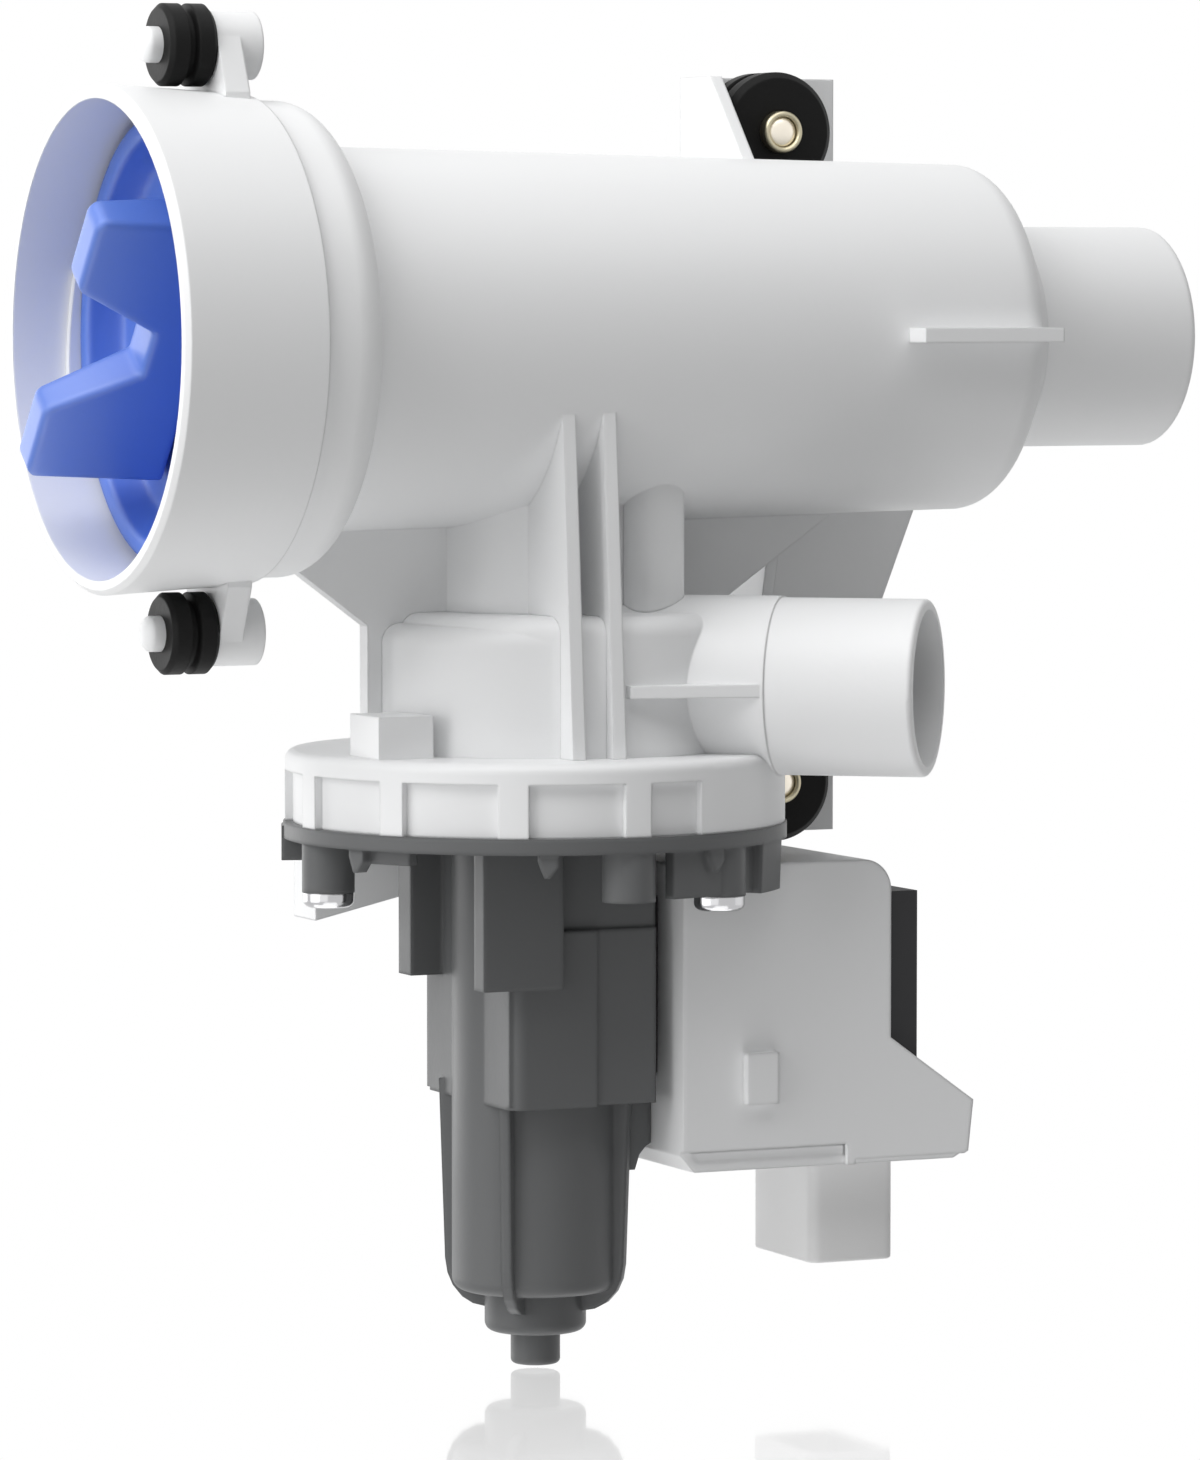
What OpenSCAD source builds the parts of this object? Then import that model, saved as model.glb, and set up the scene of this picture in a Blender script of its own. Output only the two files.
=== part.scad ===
/* [Filter tube] */
// Distance from the mouth of the inlet back to the motor axis
motor_back = 110; // [104:1:120]
// Outer radius of the tube beside the collar
tube_r = 30; // [29:0.25:31]
// How much the tube radius falls toward the inlet
tube_taper = 1.8; // [0.8:0.1:2.4]
// Wall of the white moulding
wall = 2.4; // [2:0.1:2.8]

/* [Collar] */
// Wall of the collar at its rim
collar_wall = 2.2; // [1.5:0.1:3]
// Distance from the motor axis to the rim of the collar
collar_reach = 74.1; // [72:0.5:78]
// Room around the cap rim for the lugs of its thread
cap_room = 2.1; // [1.9:0.1:2.3]

/* [Spigots] */
// Outer radius of the inlet spigot
inlet_r = 17.9; // [16.5:0.1:19]
// Outer radius of the outlet spigot
outlet_r = 14; // [13:0.1:15]
// Distance from the motor axis to the mouth of the outlet
outlet_reach = 63.2; // [58:0.1:68]
// Direction of the outlet seen from above, from the tube axis toward the front
outlet_turn = 38.6; // [30:0.5:45]
// Height of the outlet axis below the tube axis
outlet_drop = 54.6; // [54:0.1:55.2]

/* [Pump chamber] */
// Radius of the chamber wall, outside
chamber_r = 27; // [26.5:0.1:28]
// Radius of the white clamping ring
ring_r = 39.7; // [39:0.1:41]
// Height of the white clamping ring
ring_h = 11.5; // [10.5:0.5:12]

/* [Motor] */
// Outer radius of the rotor can
can_r = 13.3; // [13:0.1:13.6]
// Depth of the rotor can below the tube axis
can_drop = 151.2; // [148:0.2:156]
// Height of the lamination stack
stack_h = 28; // [24:1:29]
// Half width of the laminated core at its poles, front to back
core_half = 15.4; // [15:0.1:15.7]

/* [Connector] */
// Half depth of the coil cover, front to back
cover_half = 20; // [18.5:0.25:20.5]
// Distance from the motor axis to the straight right side of the cover
cover_right = 53.3; // [52.5:0.1:54.5]
// Size of the connector shroud, front to back
shroud_w = 20.6; // [18:0.2:22]

/* [Mountings] */
// Radius of the front grommets
front_grommet_r = 6.4; // [5.8:0.1:6.6]
// Radius of the rear grommets
rear_grommet_r = 9.8; // [9:0.1:10.2]
// Height of the upper rear pin above the tube axis
rear_up = 33.4; // [32:0.2:36]
// Depth of the lower rear pin below the tube axis
rear_down = 73.2; // [71:0.2:75]

/* [Filter] */
// Radius of the cap rim
cap_r = 35; // [34.6:0.1:35.2]
// Height of the grip humps above the cap rim
grip_h = 19; // [15:0.5:21]
// Lean of the grip from the vertical
grip_lean = 30; // [0:5:45]
// Advance of the cap in one full turn
thread_lead = 12; // [9:1:15]
// Length of the strainer basket
basket_len = 64; // [50:2:70]

/* [Rotor] */
// Radius of the impeller vanes
impeller_r = 21.5; // [19:0.5:22.5]
// Number of impeller vanes
vane_count = 6; // [4:1:8]
// Radius of the rotor magnet
magnet_r = 10.9; // [9:0.1:11]

/* [Hidden] */
$fn = 96;
hose_mid = 14.5;
motor_x = hose_mid - motor_back;

collar_bore = cap_r + cap_room;
collar_r = collar_bore + collar_wall;
rim_x = -collar_reach;
step_x = rim_x + 23.6;
shoulder_x = -40;
shoulder_round = 5;
collar_back_r = collar_r - 1.3;
shoulder_r = collar_back_r - 1;
tube_end_x = 73.5;
tube_end_r = tube_r - tube_taper * 1.13;
end_round = 4.5;
root_x = 82.4;
inlet_mouth_x = motor_back;
inlet_bore = inlet_r - 2.3;
seat_bore = tube_r - wall;
seat_from = -43;
seat_to = -34;

outlet_bore = outlet_r - 1.7;
outlet_step = 1.4;
outlet_off = 2;
outlet_root = outlet_reach - 23.4;

chamber_top = -44.5;
neck_r = 16;
neck_bore = 13.6;
ring_top = -64.8;
ring_bottom = ring_top - ring_h;
ring_bore = ring_r - 9.2;
screw_circle = ring_r - 4.2;
step_z = -68;
chamber_bore = chamber_r - wall;

flange_t = 2.5;
flange_bottom = ring_bottom - flange_t;
post_bottom = ring_bottom - 10.2;
post_r = 4.15;
can_bottom = -can_drop;
can_bore = can_r - 1.4;
boss_r = 8.1;
boss_bottom = can_bottom - 6.7;
tip_r = 3.95;
tip_bottom = boss_bottom - 5.3;

stack_top = -88.4;
stack_bottom = stack_top - stack_h;
stack_mid = stack_top - stack_h / 2;
pole_gap = 0.4;
pocket_wall = 1;
pocket_left = -11.7;
pocket_right = 13.4;
pocket_step = 3.1;
pole_left = pocket_left + pocket_wall + 0.15;
pole_right = 12.5;
leg_in = 5;
leg_out = 10;
yoke_left = 51;
yoke_right = 59.7;
yoke_half = 16.6;

coil_from = 20;
coil_to = 49.6;
coil_t = 2.3;
cover_left = 16.7;
cover_top = -82.8;
cover_bottom = -131.6;
cover_wall = 1.4;
flare_x = cover_right + 14.9;
fin_x = 45.7;
shroud_x = 43.4;
shroud_l = 13.8;
shroud_bottom = -144.1;

front_pitch = collar_r + front_grommet_r - 0.3;
front_pin_r = 2.8;
front_grommet_x = -63.6;
front_grommet_l = 7.8;
rear_x = 52.7;
rear_plate_y = 30;
rear_plate_t = 2.6;
rear_grommet_y = 20;
rear_pin_r = 3.45;

cap_front = -63.5;
cap_skirt_back = -56;
cap_face_x = -59;
plug_r = seat_bore - 0.25;
plug_back = -36;
ring_groove_x = -39;
ring_section = 1.35;
lug_front = cap_front + 0.6;
lug_out = collar_bore - 0.9;
ledge_in = cap_r + 0.35;
basket_r = plug_r - 2.95;

shaft_r = 2;
shaft_top = -51;
wheel_bottom = step_z + 2.2;
dog_bottom = step_z + 4;
hub_r = 8.2;
key_r = 6;
screw_r = 1.8;
head_r = 4;
seal_section = 1.72;
seal_r = ring_bore - 1.8;

// Helpers
module at_motor() {
    translate([motor_x, 0, 0])
    children();
}

// Turns a profile of radius and position round the tube axis
module round_tube() {
    rotate([0, 90, 0])
    rotate_extrude()
    children();
}

// Turns an upright thing to point along the outlet
module along_outlet() {
    translate([0, 0, -outlet_drop])
    rotate([0, 0, -outlet_turn])
    translate([0, outlet_off, 0])
    rotate([0, 90, 0])
    children();
}

// Draws an outline of x and z, standing from y0 back to y1
module upright(y0, y1) {
    translate([0, y1, 0])
    rotate([90, 0, 0])
    linear_extrude(height = y1 - y0)
    children();
}

// Draws an outline of y and z, standing from x0 to x1
module crosswise(x0, x1) {
    translate([x0, 0, 0])
    rotate([90, 0, 90])
    linear_extrude(height = x1 - x0)
    children();
}

function taper_at(x) = tube_r - tube_taper * (x + 37) / 97;

// White housing
module tube_profile() {
    polygon([[0, rim_x], [collar_r - 0.8, rim_x], [collar_r, rim_x + 0.8], [collar_back_r, step_x],
        [shoulder_r, step_x], [shoulder_r, shoulder_x - shoulder_round],
        [shoulder_r - shoulder_round, shoulder_x - shoulder_round],
        [shoulder_r - shoulder_round, shoulder_x], [0, shoulder_x]]);
    translate([shoulder_r - shoulder_round, shoulder_x - shoulder_round])
    circle(r = shoulder_round);
    polygon([[0, -45], [taper_at(-45), -45], [taper_at(tube_end_x), tube_end_x],
        [taper_at(tube_end_x) - end_round + end_round * cos(58), tube_end_x + end_round * sin(58)],
        [inlet_r, root_x], [0, root_x]]);
    translate([taper_at(tube_end_x) - end_round, tube_end_x])
    circle(r = end_round);
    polygon([[0, 78], [inlet_r, 78], [inlet_r, inlet_mouth_x - 1.4],
        [inlet_r - 1.4, inlet_mouth_x - 1.4], [inlet_r - 1.4, inlet_mouth_x], [0, inlet_mouth_x]]);
    translate([inlet_r - 1.4, inlet_mouth_x - 1.4])
    circle(r = 1.4);
}

module tube_void() {
    polygon([[0, rim_x - 1], [collar_bore, rim_x - 1], [collar_bore - 0.6, cap_skirt_back + 0.6],
        [collar_bore - 2.7, cap_skirt_back + 3.2], [seat_bore, seat_from], [seat_bore, seat_to],
        [taper_at(tube_end_x) - wall, 72],
        [taper_at(tube_end_x) - wall - 0.9, 75.2], [inlet_bore, 81.1],
        [inlet_bore, inlet_mouth_x + 1], [0, inlet_mouth_x + 1]]);
}

module chamber_profile(r, top) {
    polygon([[0, ring_top - 2], [r, ring_top - 2], [r, top - 3], [r - 3, top - 3],
        [r - 3, top], [0, top]]);
    translate([r - 3, top - 3])
    circle(r = 3);
}

// The chamber with the swell of its spiral toward the outlet
module chamber_outer() {
    rotate_extrude()
    chamber_profile(chamber_r, chamber_top);
    translate([4, -0.8, 0])
    rotate_extrude()
    chamber_profile(chamber_r + 0.8, chamber_top + 1.6);
}

module neck() {
    translate([0, 0, chamber_top - 2])
    cylinder(r = neck_r, h = 24);
}

module clamp_ring() {
    difference() {
        rotate_extrude()
        union() {
            polygon([[10, ring_bottom], [ring_r, ring_bottom], [ring_r, ring_top - 1.6],
                [ring_r - 1.6, ring_top - 1.6], [ring_r - 1.6, ring_top], [10, ring_top]]);
            translate([ring_r - 1.6, ring_top - 1.6])
            circle(r = 1.6);
        }
        for (a = [[127, 23], [156.5, 23], [186, 22.8], [215, 22.7], [244.6, 22], [272.8, 13.6]])
            rotate([0, 0, a[0]])
            rotate_extrude(angle = a[1])
            polygon([[ring_r - 1.3, ring_bottom - 1], [ring_r + 1, ring_bottom - 1],
                [ring_r + 1, ring_top - 3.2], [ring_r - 1.3, ring_top - 3.2]]);
    }
    translate([5.7 - ring_r, -17, ring_top - 1])
    cube([9.2, 11.5, 7.6]);
}

module outlet_outer() {
    along_outlet()
    rotate_extrude()
    union() {
        polygon([[0, 8], [outlet_r + 0.25, 8], [outlet_r + 0.25, outlet_root], [outlet_r, outlet_root],
            [outlet_r, outlet_reach - 0.8], [outlet_r - 0.8, outlet_reach - 0.8],
            [outlet_r - 0.8, outlet_reach], [0, outlet_reach]]);
        translate([outlet_r - 0.8, outlet_reach - 0.8])
        circle(r = 0.8);
    }
    translate([0, 0, -outlet_drop - 1])
    linear_extrude(height = 2)
    polygon([[2.8, -22], [2.8, -30.1], [23.6, -34.2], [25, -30], [14, -16]]);
}

module outlet_void() {
    along_outlet()
    rotate_extrude()
    polygon([[0, 14], [outlet_bore - outlet_step, 14], [outlet_bore - outlet_step, outlet_reach - 14],
        [outlet_bore, outlet_reach - 14], [outlet_bore, outlet_reach + 1], [0, outlet_reach + 1]]);
}

module chamber_void() {
    translate([0, 0, chamber_top - 28])
    cylinder(r = neck_bore, h = 48);
    translate([0, 0, step_z - 1])
    cylinder(r = chamber_bore, h = chamber_top - wall - step_z + 1);
    translate([0, 0, ring_bottom - 1])
    cylinder(r = ring_bore, h = step_z - ring_bottom + 1);
}

module front_ribs() {
    for (x = [-7.4, -0.5])
        crosswise(x, x + 2.2)
        polygon([[-26.7, -9.5], [-27.2, -12], [-31.1, ring_top - 0.5], [-8, ring_top - 0.5],
            [-8, -24], [-22, -9.5]]);
}

module webs() {
    upright(-1.6, 1.6)
    polygon([[-42, -34], [-41, -36.2], [-29.4, -44.8], [-29.4, -60], [-20, -60], [-14, -40],
        [-14, -26], [-42, -26]]);
    upright(-1.6, 1.6)
    polygon([[14, -26], [51.3, -26], [51.3, -28.6], [32.5, -41.7], [30, -46], [14, -46]]);
}

module front_arm(side) {
    scale([1, 1, side])
    union() {
        translate([-48, 0, front_pitch])
        rotate([0, -90, 0])
        cylinder(r = 5.25, h = 7.8);
        translate([-50, 0, front_pitch])
        rotate([0, -90, 0])
        cylinder(r = front_pin_r, h = 15.2);
        translate([-65.2, 0, front_pitch])
        scale([0.5, 1, 1])
        sphere(r = front_pin_r);
        crosswise(-55.8, -51.8)
        polygon([[-5, front_pitch + 1.5], [5, front_pitch + 1.5], [9, collar_back_r], [9, collar_back_r - 4],
            [-9, collar_back_r - 4], [-9, collar_back_r]]);
    }
}

module rear_frame() {
    upright(rear_plate_y, rear_plate_y + rear_plate_t)
    polygon([[40.8, rear_up + 9], [67.6, rear_up + 9], [67.6, 27], [83.6, -20], [83.6, -27],
        [67.8, -67], [67.8, -rear_down - 9], [40.8, -rear_down - 9]]);
    translate([44, 18, -14])
    cube([36, 13, 28]);
    crosswise(40.8, 42.8)
    polygon([[rear_plate_y + 1, rear_up + 9], [21, rear_up + 9], [9, 29], [0, 20], [0, -36],
        [2, -43], [14, -60], [22, -rear_down - 9], [rear_plate_y + 1, -rear_down - 9]]);
}

module tube_rib() {
    translate([52, -34, -0.6])
    cube([24.7, 14, 2.3]);
}

module post() {
    translate([14.5, -13, chamber_top - 4])
    cylinder(r = 5, h = 30);
    translate([14.5, -13, chamber_top + 26])
    sphere(r = 5);
}

module side_tab() {
    upright(ring_r + 0.6, ring_r + 9.8)
    polygon([[-21.2, ring_bottom + 6], [-21.2, -95], [-6, -91.5], [8, -89], [8, ring_bottom + 6]]);
    translate([-21.2, 25, ring_bottom + 0.4])
    cube([29.2, ring_r - 20, 5.6]);
}

module screw_bores(r) {
    for (a = [180, -60, 60])
        rotate([0, 0, a])
        translate([screw_circle, 0, ring_bottom - 12])
        cylinder(r = r, h = 19);
}

// A slab across the tube axis that climbs as the cap thread does
module thread_slab(x0, x1) {
    translate([(x0 + x1) / 2, 0, cap_r + 3])
    rotate([0, 0, atan(thread_lead / (2 * PI * cap_r))])
    cube([x1 - x0, 2 * cap_r, 30], center = true);
}

// Three sectors of a ring cut along the thread
module thread_part(half, r0, r1, x0, x1) {
    for (i = [0 : 2])
        rotate([i * 120 + 25, 0, 0])
        intersection() {
            rotate([0, 90, 0])
            rotate([0, 0, 180 - half])
            rotate_extrude(angle = 2 * half)
            polygon([[r0, x0 - 4], [r1, x0 - 4], [r1, x1 + 4], [r0, x1 + 4]]);
            thread_slab(x0, x1);
        }
}

// The white housing is one moulding, drawn as three nodes that meet in its inner corners
module chamber_mass() {
    chamber_outer();
    clamp_ring();
    outlet_outer();
    side_tab();
}

module filter_tube() {
    color([0.93, 0.94, 0.94])
    at_motor()
    union() {
        difference() {
            union() {
                round_tube()
                tube_profile();
                neck();
                front_ribs();
                webs();
                front_arm(1);
                front_arm(-1);
                tube_rib();
                post();
            }
            chamber_mass();
            round_tube()
            tube_void();
            chamber_void();
        }
        thread_part(22, ledge_in, collar_bore + 0.8, lug_front - 2.4, lug_front - 0.12);
    }
}
filter_tube();

module pump_chamber() {
    color([0.93, 0.94, 0.94])
    at_motor()
    difference() {
        chamber_mass();
        chamber_void();
        outlet_void();
        screw_bores(screw_r);
    }
}
pump_chamber();

module rear_bracket() {
    color([0.93, 0.94, 0.94])
    at_motor()
    difference() {
        rear_frame();
        round_tube()
        tube_profile();
        webs();
        for (z = [rear_up, -rear_down])
            translate([rear_x, rear_plate_y - 1, z])
            rotate([-90, 0, 0])
            cylinder(r = rear_pin_r, h = rear_plate_t + 2);
    }
}
rear_bracket();

// Grey motor housing
module pole_pocket() {
    front = core_half + pocket_wall + 0.9;
    corner = 2.5;
    translate([0, 0, -120.5])
    linear_extrude(height = 28)
    union() {
        translate([pocket_left + corner, corner - front])
        circle(r = corner);
        polygon([[pocket_left, corner - front], [pocket_left + corner, corner - front],
            [pocket_left + corner, -front], [pocket_step, -front], [pocket_step, 12 - front],
            [pocket_left, 12 - front]]);
    }
    translate([pocket_step - 1, 0.5 - front, -120.3])
    cube([pocket_right - pocket_step + 1, 11, 27.8]);
    translate([pocket_left, 0.9 - front, -120])
    cube([pocket_right - pocket_left, 11, flange_bottom + 120.5]);
}

// Plan of the core, grown by g, without the round gap for the can
module core_plan(g) {
    polygon([[pole_left - g, -core_half - g], [pole_right + g, -core_half - g],
        [pole_right + g, -leg_out - g], [yoke_left - g, -leg_out - g], [yoke_left - g, -yoke_half - g],
        [yoke_right + g, -yoke_half - g], [yoke_right + g, yoke_half + g],
        [yoke_left - g, yoke_half + g], [yoke_left - g, leg_out + g], [pole_right + g, leg_out + g],
        [pole_right + g, core_half + g], [pole_left - g, core_half + g]]);
}

module pocket_void() {
    translate([0, 0, stack_bottom - 0.15])
    linear_extrude(height = stack_h + 0.3)
    difference() {
        core_plan(0.15);
        circle(r = can_r);
        translate([pocket_right + 3, -30])
        square([50, 60]);
    }
}

module under_flange() {
    for (a = [180, -60, 60, -90])
        rotate([0, 0, a])
        translate([screw_circle, 0, post_bottom])
        cylinder(r = post_r, h = flange_bottom - post_bottom + 1);
    rotate([0, 0, -80])
    rotate_extrude(angle = 30)
    polygon([[ring_r - 3.7, post_bottom + 0.3], [ring_r - 1.4, post_bottom + 0.3],
        [ring_r - 1.4, flange_bottom + 0.5], [ring_r - 3.7, flange_bottom + 0.5]]);
    rotate([0, 0, -51])
    rotate_extrude(angle = 14)
    polygon([[ring_r - 3.7, post_bottom], [ring_r - 0.1, post_bottom], [ring_r + 0.2, flange_bottom + 0.5],
        [ring_r - 3.7, flange_bottom + 0.5]]);
    rotate([0, 0, 148])
    rotate_extrude(angle = 14)
    polygon([[ring_r - 3.2, -82.4], [ring_r + 0.6, -82.4], [ring_r + 0.6, ring_bottom - 0.6],
        [ring_r - 3.2, ring_bottom - 0.6]]);
    rotate([0, 0, 201])
    rotate_extrude(angle = 14)
    polygon([[ring_r - 4.3, flange_bottom - 2.2], [ring_r - 2.1, flange_bottom - 2.2],
        [ring_r - 2.1, flange_bottom + 0.5], [ring_r - 4.3, flange_bottom + 0.5]]);
    for (a = [201, 249, 292])
        rotate([0, 0, a])
        crosswise(ring_r - 2.5, ring_r - 0.4)
        polygon([[-1.6, flange_bottom + 0.5], [1.6, flange_bottom + 0.5], [1.6, flange_bottom - 1.8],
            [0.2, flange_bottom - 3.6], [-0.6, flange_bottom - 3.6], [-1.2, flange_bottom - 2.2],
            [-1.6, flange_bottom - 1]]);
    translate([-17.7, -20.2, -101.3])
    cube([13.6, 3.9, flange_bottom + 101.8]);
    translate([-17.2, 10, -101.4])
    cube([7.4, 5, flange_bottom + 101.9]);
}

// Round end of radius r from z0 down to z1, its lower edge rounded by c
module round_end(r, z0, z1, c) {
    rotate_extrude()
    union() {
        polygon([[0, z1], [r - c, z1], [r - c, z1 + c], [r, z1 + c], [r, z0], [0, z0]]);
        translate([r - c, z1 + c])
        circle(r = c);
    }
}

module can_outer() {
    round_end(can_r, flange_bottom + 1, can_bottom, 2);
    round_end(boss_r, can_bottom + 2, boss_bottom, 1.5);
    round_end(tip_r, boss_bottom + 2, tip_bottom, 0.8);
    for (a = [48, 138, 228, 318])
        rotate([0, 0, a])
        upright(-0.9, 0.9)
        polygon([[7, -118], [15.9, -118], [14.9, can_bottom + 4.4], [14.5, can_bottom + 2],
            [13.6, can_bottom], [12, can_bottom - 1.8], [10.2, can_bottom - 2.8], [7, can_bottom - 3.4]]);
    upright(-8.4, -7)
    polygon([[8, -119], [16.4, -119], [16.4, -127.8], [15.4, -128.4], [14.4, -129.6], [13.6, -132],
        [8, -132]]);
}

module motor_housing() {
    color([0.4, 0.41, 0.42])
    at_motor()
    difference() {
        union() {
            translate([0, 0, flange_bottom])
            cylinder(r = ring_r + 0.3, h = flange_t);
            translate([0, 0, flange_bottom])
            cylinder(r = ring_bore - 0.15, h = step_z - 3.5 - flange_bottom);
            translate([0, 0, flange_bottom])
            cylinder(r = seal_r - seal_section - 0.06, h = step_z - 1 - flange_bottom);
            under_flange();
            can_outer();
            pole_pocket();
            mirror([0, 1, 0])
            pole_pocket();
        }
        pocket_void();
        translate([0, 0, can_bottom + 1.5])
        cylinder(r = can_bore, h = 100);
        translate([0, 0, can_bottom - 4])
        cylinder(r = 4.5, h = 8);
        screw_bores(screw_r);
    }
}
motor_housing();

module motor_seal() {
    color([0.12, 0.12, 0.12])
    at_motor()
    rotate_extrude()
    translate([seal_r, step_z - 1.75])
    circle(r = seal_section);
}
motor_seal();

// Bearings of the rotor shaft
module front_bearing() {
    color([0.2, 0.2, 0.2])
    at_motor()
    difference() {
        union() {
            translate([0, 0, -77])
            cylinder(r = can_bore, h = step_z - 1 + 77);
            translate([0, 0, step_z - 1.5])
            cylinder(r = 4.6, h = 2.3);
        }
        translate([0, 0, -78])
        cylinder(r = shaft_r + 0.04, h = 14);
        translate([0, 0, -78])
        cylinder(r = 8, h = 3);
    }
}
front_bearing();

module rear_bearing() {
    color([0.72, 0.6, 0.4])
    at_motor()
    difference() {
        translate([0, 0, can_bottom - 4])
        cylinder(r = 4.5, h = 6.5);
        translate([0, 0, can_bottom - 5])
        cylinder(r = shaft_r + 0.04, h = 9);
    }
}
rear_bearing();

// Screws of the clamping flange
module flange_screw(a) {
    color([0.8, 0.81, 0.82])
    at_motor()
    rotate([0, 0, a])
    translate([screw_circle, 0, 0])
    difference() {
        union() {
            translate([0, 0, post_bottom - 0.6])
            cylinder(r = screw_r, h = 17.4);
            rotate_extrude()
            union() {
                polygon([[0, post_bottom - 2.4], [head_r - 1.2, post_bottom - 2.4],
                    [head_r - 1.2, post_bottom - 1.2], [head_r, post_bottom - 1.2],
                    [head_r, post_bottom], [0, post_bottom]]);
                translate([head_r - 1.2, post_bottom - 1.2])
                circle(r = 1.2);
            }
        }
        for (t = [0, 90])
            rotate([0, 0, t])
            translate([-0.45, -2, post_bottom - 3])
            cube([0.9, 4, 1.8]);
    }
}

module left_screw() {
    flange_screw(180);
}
left_screw();

module front_screw() {
    flange_screw(-60);
}
front_screw();

module rear_screw() {
    flange_screw(60);
}
rear_screw();

// Laminated core and coils
module stator_core() {
    color([0.2, 0.2, 0.21])
    at_motor()
    translate([0, 0, stack_bottom])
    linear_extrude(height = stack_h)
    difference() {
        core_plan(0);
        circle(r = can_r + pole_gap);
        translate([0, -leg_in])
        square([yoke_left, 2 * leg_in]);
    }
}
stator_core();

// Box about one leg of the core, grown by g all round
module leg_box(x0, x1, g) {
    translate([x0, -leg_out - g, stack_bottom - g])
    cube([x1 - x0, leg_out - leg_in + 2 * g, stack_h + 2 * g]);
}

module bobbin() {
    difference() {
        union() {
            leg_box(coil_from, coil_to, 0.9);
            leg_box(coil_from, coil_from + 1.2, coil_t + 0.9);
            leg_box(coil_to - 1.2, coil_to, coil_t + 0.9);
        }
        leg_box(coil_from - 1, coil_to + 1, 0);
    }
}

module winding() {
    difference() {
        leg_box(coil_from + 1.2, coil_to - 1.2, coil_t + 0.5);
        leg_box(coil_from, coil_to, 0.9);
    }
}

module front_bobbin() {
    color([0.86, 0.84, 0.76])
    at_motor()
    bobbin();
}
front_bobbin();

module rear_bobbin() {
    color([0.86, 0.84, 0.76])
    at_motor()
    mirror([0, 1, 0])
    bobbin();
}
rear_bobbin();

module front_winding() {
    color([0.72, 0.38, 0.18])
    at_motor()
    winding();
}
front_winding();

module rear_winding() {
    color([0.72, 0.38, 0.18])
    at_motor()
    mirror([0, 1, 0])
    winding();
}
rear_winding();

// Coil cover and connector
module cover_outline() {
    polygon([[cover_left, cover_top], [cover_right - 5, cover_top],
        [cover_right - 5, cover_top - 5], [cover_right, cover_top - 5], [cover_right, -111.5],
        [flare_x, -122.2], [flare_x - 0.9, -130.4], [flare_x - 3, cover_bottom],
        [cover_left + 2.4, cover_bottom], [cover_left, cover_bottom + 2.8]]);
    translate([cover_right - 5, cover_top - 5])
    circle(r = 5);
}

module cover_hollow() {
    polygon([[cover_left + cover_wall, cover_top - cover_wall],
        [cover_right - 3.6, cover_top - cover_wall], [cover_right - cover_wall, cover_top - 3.6],
        [cover_right - cover_wall, -112.3], [flare_x - 1.6, -122.9], [flare_x - 3, -130.2],
        [cover_left + 3, -130.2], [cover_left + cover_wall, -128]]);
}

module coil_cover() {
    color([0.8, 0.81, 0.82])
    at_motor()
    difference() {
        union() {
            upright(-cover_half, cover_half)
            cover_outline();
            translate([27.1, -cover_half - 2, -120.9])
            cube([5.4, 3, 8.2]);
        }
        upright(-cover_half + cover_wall, cover_half - cover_wall)
        cover_hollow();
        for (y = [leg_in, -leg_out])
            translate([cover_left - 3, y - 0.15, stack_bottom - 0.15])
            cube([6, leg_out - leg_in + 0.3, stack_h + 0.3]);
        translate([cover_right - 3, -yoke_half - 0.15, stack_bottom - 0.15])
        cube([20, 2 * yoke_half + 0.3, stack_h + 0.3]);
        translate([cover_left - 9, -cover_half - 1, cover_bottom - 1])
        cube([fin_x - cover_left + 9, 2.2, 4.4]);
        translate([fin_x + 1.4, -cover_half - 1, cover_bottom - 1])
        cube([30, 2.2, 1.8]);
        translate([shroud_x + 2, -shroud_w / 2 + 2, cover_bottom - 1])
        cube([shroud_l - 4, shroud_w - 4, 4]);
    }
}
coil_cover();

module blade_slot(y, g) {
    translate([shroud_x + shroud_l / 2 - 3.15 - g, y - 0.4 - g, cover_bottom - 12])
    cube([6.3 + 2 * g, 0.8 + 2 * g, 24]);
}

module connector_shroud() {
    color([0.82, 0.83, 0.84])
    at_motor()
    difference() {
        union() {
            translate([shroud_x, -shroud_w / 2, shroud_bottom])
            cube([shroud_l, shroud_w, cover_bottom - shroud_bottom]);
            translate([shroud_x + 2, -shroud_w / 2 + 2, cover_bottom - 1])
            cube([shroud_l - 4, shroud_w - 4, 3.6]);
        }
        translate([shroud_x + 1.5, -shroud_w / 2 + 1.5, shroud_bottom - 1])
        cube([shroud_l - 3, shroud_w - 3, 12]);
        blade_slot(-4, 0);
        blade_slot(4, 0);
    }
}
connector_shroud();

module terminal(y) {
    color([0.78, 0.77, 0.72])
    at_motor()
    union() {
        intersection() {
            blade_slot(y, 0);
            translate([40, y - 2, shroud_bottom + 3.5])
            cube([20, 4, 16.5]);
        }
        translate([shroud_x + shroud_l / 2 - 6, y - 0.4, shroud_bottom + 18.4])
        cube([8, 0.8, 1.6]);
    }
}

module front_terminal() {
    terminal(-4);
}
front_terminal();

module rear_terminal() {
    terminal(4);
}
rear_terminal();

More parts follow.
